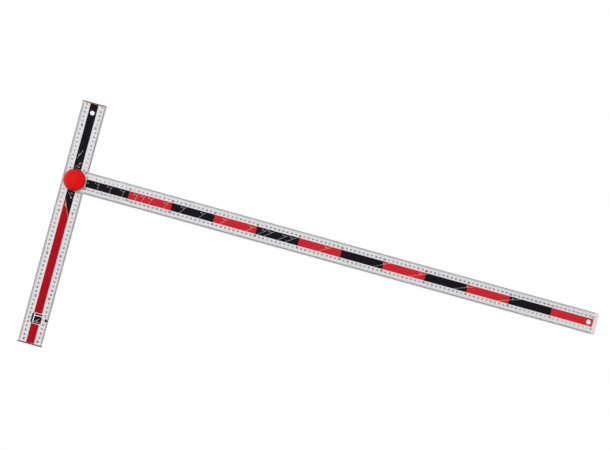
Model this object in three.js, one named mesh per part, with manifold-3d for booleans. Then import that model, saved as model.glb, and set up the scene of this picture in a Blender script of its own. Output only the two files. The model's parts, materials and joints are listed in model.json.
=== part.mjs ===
// A T square for marking out sheet material.
// A hollow aluminium blade lies on a hollow aluminium head and swings about one bolt.
// A captive knob on that bolt clamps the blade at any angle.
// Millimetres, +Z up. The origin is on the pivot axis, in the plane of the head's underside.
// +X runs out along the blade and +Y up the short arm of the head.

import * as THREE from 'three';
import { mergeVertices } from 'three/addons/utils/BufferGeometryUtils.js';
import Module from 'manifold-3d';

// Driving dimensions

// Head: the bar whose edge runs along the sheet
const headWidth = 55;
const headThickness = 10;
const headUpperArm = 178.5; // pivot to the upper end of the aluminium
const headLowerArm = 381.5; // pivot to the lower end of the aluminium
const headWall = 1.5;
const headWeb = 1.3;
const headWebSpacing = 19; // between the middles of the two inner webs
const headBevelWidth = 3;
const headBevelHeight = 3;

// Blade: the graduated bar
const bladeReach = 1200; // from the head's edge to the end of the aluminium
const bladeWidth = 50;
const bladeThickness = 6;
const bladeWall = 1.2;
const bladeWeb = 1.2;
const bladeWebSpacing = 18;
const bladeBevelWidth = 2.5;
const bladeBevelHeight = 2.5;

// Hang holes
const hangHoleDiameter = 10;
const headHangHoleInset = 20.5; // from the upper end of the aluminium
const bladeHangHoleInset = 10; // from the far end of the aluminium

// Caps of the head
const headCapPlate = 2.3;
const headCapLip = 0.6; // how far the plate stands proud of the rail at its sides and top
const headCapTongue = 12;
const headCapEdge = 0.5;

// Caps of the blade
const endCapLength = 9;
const endCapTongue = 18;
const endCapMiddleTongue = 4; // short, so that it stays clear of the hang hole
const endCapCorner = 3;
const rootCapSkin = 2;
const rootCapTongue = 7;
const rootCapMiddleTongue = 4;

// Clearances
const seatGap = 0.1; // between faces that are stacked or clamped
const runningGap = 0.1; // round the bolt
const tongueGap = 0.2; // round what plugs into a rail
const overrun = 2; // how far every cut runs past the face that it starts from
const weldDistance = 1e-5; // closer than this, two corners of a mesh are one

// Bolt, with its hexagon head flush in the underside of the head
const boltDiameter = 8;
const boltHeadAcrossFlats = 13;
const boltHeadThickness = 5.3;
const boltTipLength = 1; // beyond the clip
const boltTipChamfer = 0.8;
const boltNeckDiameter = 6; // in the groove that the clip sits in
const boltHeadHoleDiameter = 16.4; // through the bottom wall of the head

// Clip on the bolt's end
const clipDiameter = 12;
const clipThickness = 0.7;
const clipMouth = 5.6;

// Pivot block in the head and bush in the blade
const blockLength = 26;
const blockCorner = 2;
const pocketGap = 0.15; // round the bolt's hexagon
const bushDiameter = 15.5;

// Friction disc and pressure washer
const discDiameter = 44;
const discThickness = 1;
const washerDiameter = 24;
const washerThickness = 2;

// Knob
const knobDiameter = 50;
const knobShoulderWidth = 8.5; // of the rounded slope between the flat top and the side
const knobShoulderHeight = 9;
const knobSkirtClearance = 0.8; // above the blade
const knobWall = 2;
const knobFloor = 2.2; // between the hollow underside and the seat of the cover
const knobRib = 1.8;
const knobRibSetback = 1.5; // of the ribs from the hub's lower face
const hubDiameter = 22;
const fluteRadius = 2.4;
const fluteDepth = 1.5; // at the lower edge of the skirt
const fluteLean = 7.5; // degrees, so that the flutes run on up over the shoulder
const threadPitch = 1.25;
const knobTurns = 1; // before the insert meets the clip
const insertDiameter = 12;
const insertHeight = 12;
const insertChamfer = 0.6;
const coverDiameter = 30;
const coverThickness = 1.6;
const coverEdge = 0.4;
const coverBoltClearance = 0.3;
const spigotDiameter = 16.6;
const spigotWall = 1.2;
const spigotLength = 2.6;

// Counts
const fluteCount = 24;
const ribCount = 6;
const roundSides = 64;
const knobSides = 96;
const hexagonSides = 6;
const boltSides = 48;
const holeSides = 32;
const fluteSides = 16;
const shoulderSteps = 8;
const capEdgeSteps = 2;
const cornerSteps = 4;
const fullTurn = 360; // degrees

// Levels of the clamp stack, from the underside of the head upwards
const discBottom = headThickness + seatGap;
const bladeBottom = discBottom + discThickness + seatGap;
const bladeTop = bladeBottom + bladeThickness;
const washerBottom = bladeTop + seatGap;
const hubBottom = washerBottom + washerThickness + seatGap;
const knobBottom = bladeTop + knobSkirtClearance;
const insertTop = hubBottom + insertHeight;
const knobLift = threadPitch * knobTurns;
const clipBottom = insertTop + knobLift + seatGap;
const boltTop = clipBottom + clipThickness + boltTipLength;
const coverBottom = boltTop + coverBoltClearance;
const knobTop = coverBottom + coverThickness;

// Places along the bars
const bladeEnd = headWidth / 2 + bladeReach;
const headHangHoleY = headUpperArm - headHangHoleInset;
const bladeHangHoleX = bladeEnd - bladeHangHoleInset;
const rootRadius = bladeWidth / 2;

// Materials
const anodised = new THREE.MeshStandardMaterial({ color: 0xdcdcde, roughness: 0.38, metalness: 0.9 });
const capRed = new THREE.MeshStandardMaterial({ color: 0x9c1420, roughness: 0.45, metalness: 0 });
const knobRed = new THREE.MeshStandardMaterial({ color: 0xdc1c18, roughness: 0.35, metalness: 0 });
const milky = new THREE.MeshStandardMaterial({ color: 0xe4e2e0, roughness: 0.4, metalness: 0 });
const zinc = new THREE.MeshStandardMaterial({ color: 0xb4b8bc, roughness: 0.35, metalness: 1 });
const brass = new THREE.MeshStandardMaterial({ color: 0xc8a24c, roughness: 0.35, metalness: 1 });
const fibre = new THREE.MeshStandardMaterial({ color: 0x2a2a2c, roughness: 0.8, metalness: 0 });

// Solids

const wasm = await Module();
wasm.setup();

function toSolid(geometry) {
  const bare = geometry.index ? geometry.toNonIndexed() : geometry.clone();
  bare.deleteAttribute('normal');
  bare.deleteAttribute('uv');
  const merged = mergeVertices(bare, weldDistance);
  const mesh = new wasm.Mesh({
    numProp: 3,
    vertProperties: new Float32Array(merged.attributes.position.array),
    triVerts: new Uint32Array(merged.index.array),
  });
  return new wasm.Manifold(mesh);
}

function toGeometry(solid) {
  const mesh = solid.getMesh();
  const geometry = new THREE.BufferGeometry();
  geometry.setAttribute('position', new THREE.BufferAttribute(mesh.vertProperties, 3));
  geometry.setIndex(new THREE.BufferAttribute(mesh.triVerts, 1));
  const flat = geometry.toNonIndexed();
  flat.computeVertexNormals();
  return flat;
}

function shapeOf(points) {
  return new THREE.Shape(points.map(([x, y]) => new THREE.Vector2(x, y)));
}

// A prism on an outline in the XY plane, from one level up to another.
function prism(points, bottom, top) {
  const geometry = new THREE.ExtrudeGeometry(shapeOf(points), { depth: top - bottom, bevelEnabled: false });
  geometry.translate(0, 0, bottom);
  return toSolid(geometry);
}

// A turned solid about Z. The profile is a closed run of [radius, level] points, counter-clockwise.
function turned(profile, sides) {
  const points = [...profile, profile[0]].map(([r, z]) => new THREE.Vector2(r, z));
  const geometry = new THREE.LatheGeometry(points, sides);
  geometry.rotateX(Math.PI / 2);
  return toSolid(geometry);
}

function disc(radius, bottom, top, sides) {
  return turned([[0, bottom], [radius, bottom], [radius, top], [0, top]], sides);
}

function ring(outer, inner, bottom, top, sides) {
  return turned([[inner, bottom], [outer, bottom], [outer, top], [inner, top]], sides);
}

function block(low, high) {
  const size = high.map((value, axis) => value - low[axis]);
  const geometry = new THREE.BoxGeometry(...size);
  geometry.translate(...low.map((value, axis) => value + size[axis] / 2));
  return toSolid(geometry);
}

function hexagon(acrossFlats, bottom, top) {
  const radius = acrossFlats / 2 / Math.cos(Math.PI / hexagonSides);
  return disc(radius, bottom, top, hexagonSides);
}

// Moves every side of a convex, counter-clockwise outline inwards by one distance.
function inset(points, distance) {
  const sides = points.map((start, i) => {
    const end = points[(i + 1) % points.length];
    const length = Math.hypot(end[0] - start[0], end[1] - start[1]);
    const along = [(end[0] - start[0]) / length, (end[1] - start[1]) / length];
    const through = [start[0] - along[1] * distance, start[1] + along[0] * distance];
    return { along, through };
  });
  return sides.map((side, i) => {
    const before = sides[(i + sides.length - 1) % sides.length];
    const cross = before.along[0] * side.along[1] - before.along[1] * side.along[0];
    const gap = [side.through[0] - before.through[0], side.through[1] - before.through[1]];
    const t = (gap[0] * side.along[1] - gap[1] * side.along[0]) / cross;
    return [before.through[0] + before.along[0] * t, before.through[1] + before.along[1] * t];
  });
}

// The section of a flat bar that is bevelled along both upper edges: [across, up].
function barOutline(width, thickness, bevelWidth, bevelHeight) {
  const side = width / 2;
  return [
    [-side, 0],
    [side, 0],
    [side, thickness - bevelHeight],
    [side - bevelWidth, thickness],
    [bevelWidth - side, thickness],
    [-side, thickness - bevelHeight],
  ];
}

// The hollow inside a bar, split by its two webs. A gap makes it the tongues that plug in there.
function channels(bar, length, gap) {
  const inside = inset(bar.outline, bar.wall + gap);
  const whole = prism(inside, 0, length);
  const webs = [-bar.webSpacing / 2, bar.webSpacing / 2].map((across) => block(
    [across - bar.web / 2 - gap, -overrun, -overrun],
    [across + bar.web / 2 + gap, bar.thickness + overrun, length + overrun],
  ));
  return webs.reduce((solid, web) => solid.subtract(web), whole);
}

const headBar = {
  outline: barOutline(headWidth, headThickness, headBevelWidth, headBevelHeight),
  thickness: headThickness,
  wall: headWall,
  web: headWeb,
  webSpacing: headWebSpacing,
};
const bladeBar = {
  outline: barOutline(bladeWidth, bladeThickness, bladeBevelWidth, bladeBevelHeight),
  thickness: bladeThickness,
  wall: bladeWall,
  web: bladeWeb,
  webSpacing: bladeWebSpacing,
};

// Sections are drawn across and up. These turn a prism so that its length runs along Y or X.
const alongDown = [1, 0, 0, 0, 0, 1, 0, -1, 0];
const alongUp = [-1, 0, 0, 0, 0, 1, 0, 1, 0];
const alongOut = [0, 1, 0, 0, 0, 1, 1, 0, 0];

// Places a section prism: the columns of the turn, then the start of its length.
function placed(solid, turn, start) {
  const [a, b, c, d, e, f, g, h, i] = turn;
  return solid.transform([a, b, c, 0, d, e, f, 0, g, h, i, 0, ...start, 1]);
}

// Head

function headRail() {
  const length = headUpperArm + headLowerArm;
  const outside = prism(headBar.outline, 0, length);
  const hollow = channels(headBar, length + 2 * overrun, 0).translate([0, 0, -overrun]);
  const rail = placed(outside.subtract(hollow), alongDown, [0, headUpperArm, 0]);
  const hang = disc(hangHoleDiameter / 2, -overrun, headThickness + overrun, holeSides);
  const bore = disc(boltDiameter / 2 + runningGap, -overrun, headThickness + overrun, boltSides);
  const headHole = disc(boltHeadHoleDiameter / 2, -overrun, headWall + overrun, boltSides);
  return rail.subtract(hang.translate([0, headHangHoleY, 0])).subtract(bore).subtract(headHole);
}

// One cap of the head: a plate with softened edges and three tongues in the rail's channels.
// It is drawn with its plate from 0 outwards to -headCapPlate and its tongues along +Z.
function headCap() {
  const face = barOutline(
    headWidth + 2 * headCapLip,
    headThickness + headCapLip,
    headBevelWidth,
    headBevelHeight,
  );
  const plate = new THREE.ExtrudeGeometry(shapeOf(face), {
    depth: headCapPlate - 2 * headCapEdge,
    bevelEnabled: true,
    bevelThickness: headCapEdge,
    bevelSize: headCapEdge,
    bevelOffset: -headCapEdge,
    bevelSegments: capEdgeSteps,
  });
  plate.translate(0, 0, headCapEdge - headCapPlate - seatGap);
  const tongues = channels(headBar, headCapTongue + 2 * seatGap, tongueGap);
  return toSolid(plate).add(tongues.translate([0, 0, -2 * seatGap]));
}

// The block fits between the webs and the walls of the middle channel, and holds the bolt's hexagon.
function pivotBlock() {
  const half = headWebSpacing / 2 - headWeb / 2 - tongueGap;
  const reach = blockLength / 2;
  const bottom = headWall + seatGap;
  const top = headThickness - headWall - seatGap;
  const outline = [
    [-half, blockCorner - reach],
    [blockCorner - half, -reach],
    [half - blockCorner, -reach],
    [half, blockCorner - reach],
    [half, reach - blockCorner],
    [half - blockCorner, reach],
    [blockCorner - half, reach],
    [-half, reach - blockCorner],
  ];
  const bore = disc(boltDiameter / 2 + runningGap, bottom - overrun, top + overrun, boltSides);
  const pocket = hexagon(
    boltHeadAcrossFlats + 2 * pocketGap,
    bottom - overrun,
    boltHeadThickness + seatGap,
  );
  return prism(outline, bottom, top).subtract(bore).subtract(pocket);
}

function pivotBolt() {
  const radius = boltDiameter / 2;
  const neck = boltNeckDiameter / 2;
  const grooveTop = clipBottom + clipThickness + seatGap / 2;
  const grooveBottom = clipBottom - seatGap / 2;
  const shank = turned([
    [0, boltHeadThickness / 2],
    [radius, boltHeadThickness / 2],
    [radius, grooveBottom],
    [neck, grooveBottom],
    [neck, grooveTop],
    [radius, grooveTop],
    [radius, boltTop - boltTipChamfer],
    [radius - boltTipChamfer, boltTop],
    [0, boltTop],
  ], boltSides);
  return hexagon(boltHeadAcrossFlats, 0, boltHeadThickness).add(shank);
}

function boltClip() {
  const top = clipBottom + clipThickness;
  const whole = ring(clipDiameter / 2, boltNeckDiameter / 2 + runningGap, clipBottom, top, boltSides);
  const mouth = block(
    [0, -clipMouth / 2, clipBottom - overrun],
    [clipDiameter, clipMouth / 2, top + overrun],
  );
  return whole.subtract(mouth);
}

function frictionDisc() {
  const bore = boltDiameter / 2 + runningGap;
  return ring(discDiameter / 2, bore, discBottom, discBottom + discThickness, roundSides);
}

// Blade, drawn from its own underside

// The rounded end of the blade: everything within a radius of the pivot, or beyond the pivot.
function rootForm(radius, length) {
  const round = disc(radius, -overrun, bladeThickness + overrun, roundSides);
  const beyond = block(
    [0, -bladeWidth, -overrun],
    [length, bladeWidth, bladeThickness + overrun],
  );
  return round.add(beyond);
}

function bladeRail() {
  const length = rootRadius + bladeEnd;
  const outside = prism(bladeBar.outline, 0, length);
  const hollow = channels(bladeBar, length + 2 * overrun, 0).translate([0, 0, -overrun]);
  const rail = placed(outside.subtract(hollow), alongOut, [-rootRadius, 0, 0]);
  const hang = disc(hangHoleDiameter / 2, -overrun, bladeThickness + overrun, holeSides);
  const bore = disc(boltDiameter / 2 + runningGap, -overrun, bladeThickness + overrun, boltSides);
  return rail
    .intersect(rootForm(rootRadius - rootCapSkin - seatGap, length))
    .subtract(hang.translate([bladeHangHoleX, 0, 0]))
    .subtract(bore);
}

// The far cap: the bar's own section with rounded corners, two long tongues and a short middle one.
function bladeEndCap() {
  const start = bladeEnd + seatGap;
  const side = bladeWidth / 2;
  const body = placed(prism(bladeBar.outline, 0, endCapLength - seatGap), alongOut, [start, 0, 0]);
  const plan = [[bladeEnd, -side], ...cornerArc(-1), ...cornerArc(1), [bladeEnd, side]];
  const rounded = body.intersect(prism(plan, -overrun, bladeThickness + overrun));
  const long = channels(bladeBar, endCapTongue + overrun, tongueGap);
  const tongues = placed(long, alongOut, [bladeEnd - endCapTongue, 0, 0]).subtract(block(
    [bladeEnd - endCapTongue - overrun, -bladeWebSpacing / 2, -overrun],
    [bladeEnd - endCapMiddleTongue, bladeWebSpacing / 2, bladeThickness + overrun],
  ));
  return rounded.add(tongues);
}

// One rounded corner of the far cap in plan, on the side given by sign.
function cornerArc(sign) {
  const centre = [bladeEnd + endCapLength - endCapCorner, sign * (bladeWidth / 2 - endCapCorner)];
  const arc = [];
  for (let step = 0; step <= cornerSteps; step += 1) {
    const share = sign < 0 ? step / cornerSteps : 1 - step / cornerSteps;
    const angle = sign * (1 - share) * Math.PI / 2;
    arc.push([
      centre[0] + endCapCorner * Math.cos(angle),
      centre[1] + endCapCorner * Math.sin(angle),
    ]);
  }
  return arc;
}

// The root cap: a rounded skin round the end of the rail, with tongues in its channels.
function bladeRootCap() {
  const length = rootRadius + rootCapTongue;
  const bar = placed(prism(bladeBar.outline, 0, rootRadius), alongOut, [-rootRadius, 0, 0]);
  const railForm = rootForm(rootRadius - rootCapSkin, length);
  const skin = bar.intersect(rootForm(rootRadius - seatGap, length)).subtract(railForm);
  const reach = rootRadius - rootCapSkin;
  const all = placed(channels(bladeBar, length, tongueGap), alongOut, [-rootRadius, 0, 0]);
  const inner = disc(reach - rootCapTongue, -overrun, bladeThickness + overrun, roundSides);
  const middle = block(
    [rootCapMiddleTongue - reach, -bladeWebSpacing / 2, -overrun],
    [rootRadius, bladeWebSpacing / 2, bladeThickness + overrun],
  );
  const ahead = block(
    [-seatGap, -bladeWidth, -overrun],
    [length, bladeWidth, bladeThickness + overrun],
  );
  const outer = rootForm(rootRadius - rootCapSkin / 2, length);
  const tongues = all.intersect(outer).subtract(inner).subtract(middle).subtract(ahead);
  return skin.add(tongues).subtract(ahead);
}

function bladeBush() {
  const inner = boltDiameter / 2 + runningGap;
  const bottom = bladeWall + seatGap;
  return ring(bushDiameter / 2, inner, bottom, bladeThickness - bladeWall - seatGap, boltSides);
}

function pressureWasher() {
  const bore = boltDiameter / 2 + runningGap;
  return ring(washerDiameter / 2, bore, washerBottom, washerBottom + washerThickness, roundSides);
}

// Knob, drawn from the lower edge of its skirt

const knobHeight = knobTop - knobBottom;
const coverSeat = coverBottom - seatGap - knobBottom;
const hubLevel = hubBottom - knobBottom;
const insertTopLevel = insertTop - knobBottom;

// A quarter ellipse of profile points, from the knob's side up to its top.
function shoulderPoints() {
  const points = [];
  for (let step = 0; step <= shoulderSteps; step += 1) {
    const angle = step / shoulderSteps * Math.PI / 2;
    points.push([
      knobDiameter / 2 - knobShoulderWidth * (1 - Math.cos(angle)),
      knobHeight - knobShoulderHeight * (1 - Math.sin(angle)),
    ]);
  }
  return points;
}

// A groove along the side that leans inwards, so that it fades out on the shoulder.
function fluteCutter(radius) {
  const lean = THREE.MathUtils.degToRad(fluteLean);
  const start = radius - fluteDepth + fluteRadius / Math.cos(lean);
  return disc(fluteRadius, -knobHeight, 2 * knobHeight, fluteSides)
    .rotate([0, -fluteLean, 0])
    .translate([start, 0, 0]);
}

function lockKnob() {
  const radius = knobDiameter / 2;
  const outline = [[0, 0], [radius, 0], ...shoulderPoints(), [0, knobHeight]];
  const flute = fluteCutter(radius);
  let body = turned(outline, knobSides);
  for (let i = 0; i < fluteCount; i += 1) {
    body = body.subtract(flute.rotate([0, 0, i * fullTurn / fluteCount]));
  }
  const hub = hubDiameter / 2;
  const floor = coverSeat - knobFloor;
  const lean = floor * Math.tan(THREE.MathUtils.degToRad(fluteLean));
  const skirt = radius - fluteDepth - lean - knobWall;
  let hollow = ring(skirt, hub, -overrun, floor, roundSides)
    .add(disc(skirt, -overrun, hubLevel, roundSides));
  const rib = block([0, -knobRib / 2, hubLevel + knobRibSetback], [radius, knobRib / 2, knobHeight]);
  for (let i = 0; i < ribCount; i += 1) {
    hollow = hollow.subtract(rib.rotate([0, 0, i * fullTurn / ribCount]));
  }
  return body
    .subtract(hollow)
    .subtract(disc(insertDiameter / 2 + seatGap, -overrun, knobHeight + overrun, boltSides))
    .subtract(disc(spigotDiameter / 2 + seatGap, insertTopLevel, knobHeight + overrun, boltSides))
    .subtract(disc(coverDiameter / 2 + tongueGap, coverSeat, knobHeight + overrun, roundSides));
}

function knobInsert() {
  const outer = insertDiameter / 2;
  const inner = boltDiameter / 2 + runningGap;
  return turned([
    [inner, hubLevel],
    [outer - insertChamfer, hubLevel],
    [outer, hubLevel + insertChamfer],
    [outer, insertTopLevel - insertChamfer],
    [outer - insertChamfer, insertTopLevel],
    [inner, insertTopLevel],
  ], boltSides);
}

function knobCover() {
  const bottom = coverBottom - knobBottom;
  const radius = coverDiameter / 2;
  const outer = spigotDiameter / 2;
  return turned([
    [0, bottom],
    [outer - spigotWall, bottom],
    [outer - spigotWall, bottom - spigotLength],
    [outer, bottom - spigotLength],
    [outer, bottom],
    [radius, bottom],
    [radius, knobHeight - coverEdge],
    [radius - coverEdge, knobHeight],
    [0, knobHeight],
  ], roundSides);
}

// Assembly

function mesh(name, solid, material) {
  const object = new THREE.Mesh(toGeometry(solid), material);
  object.name = name;
  return object;
}

function group(level, ...meshes) {
  const object = new THREE.Group();
  object.position.z = level;
  object.add(...meshes);
  return object;
}

const head = group(
  0,
  mesh('head_rail', headRail(), anodised),
  mesh('head_upper_cap', placed(headCap(), alongDown, [0, headUpperArm, 0]), capRed),
  mesh('head_lower_cap', placed(headCap(), alongUp, [0, -headLowerArm, 0]), capRed),
  mesh('pivot_block', pivotBlock(), zinc),
  mesh('pivot_bolt', pivotBolt(), zinc),
  mesh('bolt_clip', boltClip(), zinc),
  mesh('friction_disc', frictionDisc(), fibre),
);

const blade = group(
  bladeBottom,
  mesh('blade_rail', bladeRail(), anodised),
  mesh('blade_end_cap', bladeEndCap(), milky),
  mesh('blade_root_cap', bladeRootCap(), milky),
  mesh('blade_bush', bladeBush(), zinc),
);

const washer = group(0, mesh('pressure_washer', pressureWasher(), zinc));

const knob = group(
  knobBottom,
  mesh('lock_knob', lockKnob(), knobRed),
  mesh('knob_insert', knobInsert(), brass),
  mesh('knob_cover', knobCover(), knobRed),
);

const tSquare = new THREE.Group();
tSquare.add(head, blade, washer, knob);

export default tSquare;
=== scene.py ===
"""Dresses the frame of a folding T-square with fine pieces, printed scales and finishes."""
import json
import math

import bmesh
import bpy
from mathutils import Matrix, Vector


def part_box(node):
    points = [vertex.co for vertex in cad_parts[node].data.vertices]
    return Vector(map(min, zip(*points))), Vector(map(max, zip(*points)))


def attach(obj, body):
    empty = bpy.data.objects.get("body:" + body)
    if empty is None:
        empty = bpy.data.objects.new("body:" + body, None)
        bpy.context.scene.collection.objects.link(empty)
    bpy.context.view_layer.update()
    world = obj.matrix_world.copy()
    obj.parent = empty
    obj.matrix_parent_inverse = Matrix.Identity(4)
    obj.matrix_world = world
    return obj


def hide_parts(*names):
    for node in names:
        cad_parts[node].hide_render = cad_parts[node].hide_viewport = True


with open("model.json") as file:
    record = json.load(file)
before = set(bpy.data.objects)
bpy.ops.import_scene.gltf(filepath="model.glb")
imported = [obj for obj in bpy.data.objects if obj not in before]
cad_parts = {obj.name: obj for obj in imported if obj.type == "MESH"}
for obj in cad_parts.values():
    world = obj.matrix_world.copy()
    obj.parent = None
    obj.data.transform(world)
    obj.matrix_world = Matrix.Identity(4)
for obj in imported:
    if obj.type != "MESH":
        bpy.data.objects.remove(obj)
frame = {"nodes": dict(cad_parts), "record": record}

bl_info = {
    "name": "Folding T-Square",
    "version": (1, 0, 0),
    "blender": (4, 5, 0),
    "location": "View3D > Sidebar > T-Square",
    "description": "Rails, clamp knob, printed scales and finishes of a folding T-square",
    "category": "Add Mesh",
}

MM = 0.001  # all lengths here are metres, as in the frame
FULL_TURN = math.tau
UP = Vector((0, 0, 1))

# Places read from the frame

HEAD_LOW, HEAD_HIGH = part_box("head_rail")
BLADE_LOW, BLADE_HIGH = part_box("blade_rail")
KNOB_LOW, KNOB_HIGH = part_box("lock_knob")
COVER_LOW, COVER_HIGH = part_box("knob_cover")
INSERT_LOW, INSERT_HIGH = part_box("knob_insert")
OPENINGS = {item["name"]: item["box_m"] for item in frame["record"]["physics"]["openings"]}
FENCE = HEAD_HIGH.x  # the blade's scale starts in the plane of the head's edge
HEAD_ZERO = BLADE_HIGH.y  # and the head's scales in the plane of the blade's upper edge


def middle(name):
    """The middle of a stated opening, in plan."""
    low, high = OPENINGS[name]
    return Vector(((low[0] + high[0]) / 2, (low[1] + high[1]) / 2))


HEAD_HANG_HOLE = middle("head_hang_hole")
BLADE_HANG_HOLE = middle("blade_hang_hole")

# Sizes of the rails that the frame's boxes don't give

HEAD_BEVEL = Vector((3.0 * MM, 3.0 * MM))  # across and down
BLADE_BEVEL = Vector((2.5 * MM, 2.5 * MM))
HANG_HOLE_RADIUS = 5.0 * MM
BOLT_BORE_RADIUS = 4.1 * MM
CENTIMETRE = 10 * MM
DECIMETRE = 100 * MM


def srgb(red, green, blue):
    """A colour written in the 0 to 255 of a picture, as the linear values that shaders take."""
    def linear(value):
        share = value / 255
        return share / 12.92 if share <= 0.04045 else ((share + 0.055) / 1.055) ** 2.4
    return (linear(red), linear(green), linear(blue))


# Settings


def colour_property(name, description, default):
    return bpy.props.FloatVectorProperty(
        name=name, description=description, default=default, size=3, min=0, max=1, subtype="COLOR"
    )


def length_property(name, description, default):
    return bpy.props.FloatProperty(
        name=name, description=description, default=default, unit="LENGTH", precision=5
    )


def angle_property(name, description, default):
    return bpy.props.FloatProperty(
        name=name, description=description, default=math.radians(default), subtype="ANGLE"
    )


class TSquareColours(bpy.types.PropertyGroup):
    """Colours of the finishes."""

    aluminium: colour_property(
        "Aluminium", "Flat faces of both rails", srgb(208, 207, 209))
    # Painted shade: the sloping bevels of both rails take this greyer copy of the aluminium in place
    # of the darker light that their slope catches
    milled: colour_property(
        "Milled Bevel", "Sloping edges of both rails", srgb(200, 200, 202))
    black_ink: colour_property(
        "Black Ink", "Numbers, lines and dark bands", srgb(18, 15, 21))
    blade_red: colour_property(
        "Blade Red", "Red bands of the blade", srgb(194, 35, 44))
    head_red: colour_property(
        "Head Red", "Red band of the head", srgb(172, 1, 22))
    mark_red: colour_property(
        "Mark Red", "Arrow on the fence and index on the blade", srgb(66, 4, 14))
    white_ink: colour_property(
        "White Ink", "Fine lines on the bands", srgb(238, 238, 238))
    knob_red: colour_property(
        "Knob Red", "Clamp knob and its cover", srgb(217, 10, 4))
    cap_red: colour_property(
        "Cap Red", "End caps of the head", srgb(124, 18, 26))
    milky: colour_property(
        "Milky Plastic", "Caps of the blade", srgb(224, 209, 208))
    zinc: colour_property(
        "Zinc", "Bolt, clip, block, bush and washer", srgb(186, 190, 194))
    brass: colour_property(
        "Brass", "Threaded insert", srgb(204, 168, 88))
    fibre: colour_property(
        "Fibre", "Friction disc", srgb(44, 42, 42))


class TSquarePrint(bpy.types.PropertyGroup):
    """Sizes of the printed scales and bands."""

    ink_rise: length_property(
        "Ink Rise", "Height of the print above the rail", 0.05 * MM)
    ink_root: length_property(
        "Ink Root", "Depth that the print reaches into the rail", 0.02 * MM)
    blade_band: length_property(
        "Blade Band", "Half the width of the blade's band", 9.1 * MM)
    head_band: length_property(
        "Head Band", "Half the width of the head's band", 9.35 * MM)
    tick_width: length_property(
        "Tick Width", "Width of a millimetre line", 0.26 * MM)
    digit_height: length_property(
        "Digit Height", "Height of an ordinary number", 3.6 * MM)
    ten_height: length_property(
        "Ten Height", "Height of a number that ends in nought", 4.2 * MM)
    digit_weight: length_property(
        "Digit Weight", "Added on each side of an ordinary number's strokes", 0.20 * MM)
    ten_weight: length_property(
        "Ten Weight", "Added on each side of the strokes of a number that ends in nought", 0.33 * MM)
    head_weight: length_property(
        "Head Weight", "Added to the digit weight on the head", 0.09 * MM)
    hundred_weight: length_property(
        "Hundred Weight", "Added to the digit weight on a number of three digits", 0.06 * MM)
    fine_line: length_property(
        "Fine Line", "Width of the white lines on the bands", 0.28 * MM)
    apex_distance: length_property(
        "Apex Distance", "From the pivot along the fence to the point of the angle lines", 325 * MM)


class TSquareKnob(bpy.types.PropertyGroup):
    """Sizes of the clamp knob that the frame's boxes don't give."""

    radius: length_property("Radius", "Side of the knob", 25.6 * MM)
    shoulder_width: length_property(
        "Shoulder Width", "Of the rounded slope, in plan", 9.2 * MM)
    shoulder_height: length_property(
        "Shoulder Height", "Of the rounded slope, in height", 9.8 * MM)
    flutes: bpy.props.IntProperty(
        name="Flutes", description="Grip grooves round the side", default=24, min=6, max=48)
    flute_radius: length_property("Flute Radius", "Radius of a groove", 3.6 * MM)
    flute_depth: length_property(
        "Flute Depth", "Depth of a groove at the lower edge", 0.6 * MM)
    flute_lean: angle_property(
        "Flute Lean", "Slope by which a groove runs out on the shoulder", 14.5)
    edge_softness: length_property(
        "Edge Softness", "Rounding between a groove and the side", 0.5 * MM)


class TSquareStage(bpy.types.PropertyGroup):
    """Camera and light of the picture."""

    aim: bpy.props.FloatVectorProperty(
        name="Aim", description="Point in the middle of the picture", size=3,
        default=(0.5318, 0.0409, BLADE_HIGH.z), subtype="TRANSLATION", unit="LENGTH")
    distance: length_property("Distance", "From the camera to the aim", 11.0)
    lean_back: angle_property("Lean Back", "Tilt of the camera about X", 5.108)
    lean_side: angle_property("Lean Side", "Tilt of the camera about Y", -5.663)
    roll: angle_property("Roll", "Turn of the picture", 14.966)
    pixels_per_metre: bpy.props.FloatProperty(
        name="Pixels per Metre", description="Scale of the picture at the aim", default=440.77)
    lamp_level: bpy.props.FloatProperty(
        name="Lamp Level", description="Light that the lamp gives a flat face", default=0.50)
    lamp_height: angle_property("Lamp Height", "Height of the lamp above the floor", 64)
    lamp_bearing: angle_property("Lamp Bearing", "Direction of the lamp, from +X", 158)
    lamp_size: angle_property("Lamp Size", "Width of the lamp as seen from the floor", 36)
    sky_top: bpy.props.FloatProperty(
        name="Sky Top", description="Brightness overhead", default=0.70)
    sky_side: bpy.props.FloatProperty(
        name="Sky Side", description="Brightness at the horizon", default=0.26)


# Finishes


class Link:
    """A socket of a finish's nodes, so that shader maths reads as plain sums."""

    def __init__(self, finish, socket):
        self.finish = finish
        self.socket = socket

    def maths(self, operation, *values):
        sockets = dict(enumerate(values))
        return self.finish.node("ShaderNodeMath", {"operation": operation}, sockets)

    def __add__(self, other):
        return self.maths("ADD", self, other)

    def __mul__(self, other):
        return self.maths("MULTIPLY", self, other)

    def __sub__(self, other):
        return self.maths("SUBTRACT", self, other)

    def __rsub__(self, other):
        return self.maths("SUBTRACT", other, self)

    def __abs__(self):
        return self.maths("ABSOLUTE", self)

    def clamped(self):
        return self.maths("MINIMUM", self.maths("MAXIMUM", self, 0.0), 1.0)

    __radd__ = __add__
    __rmul__ = __mul__


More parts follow.
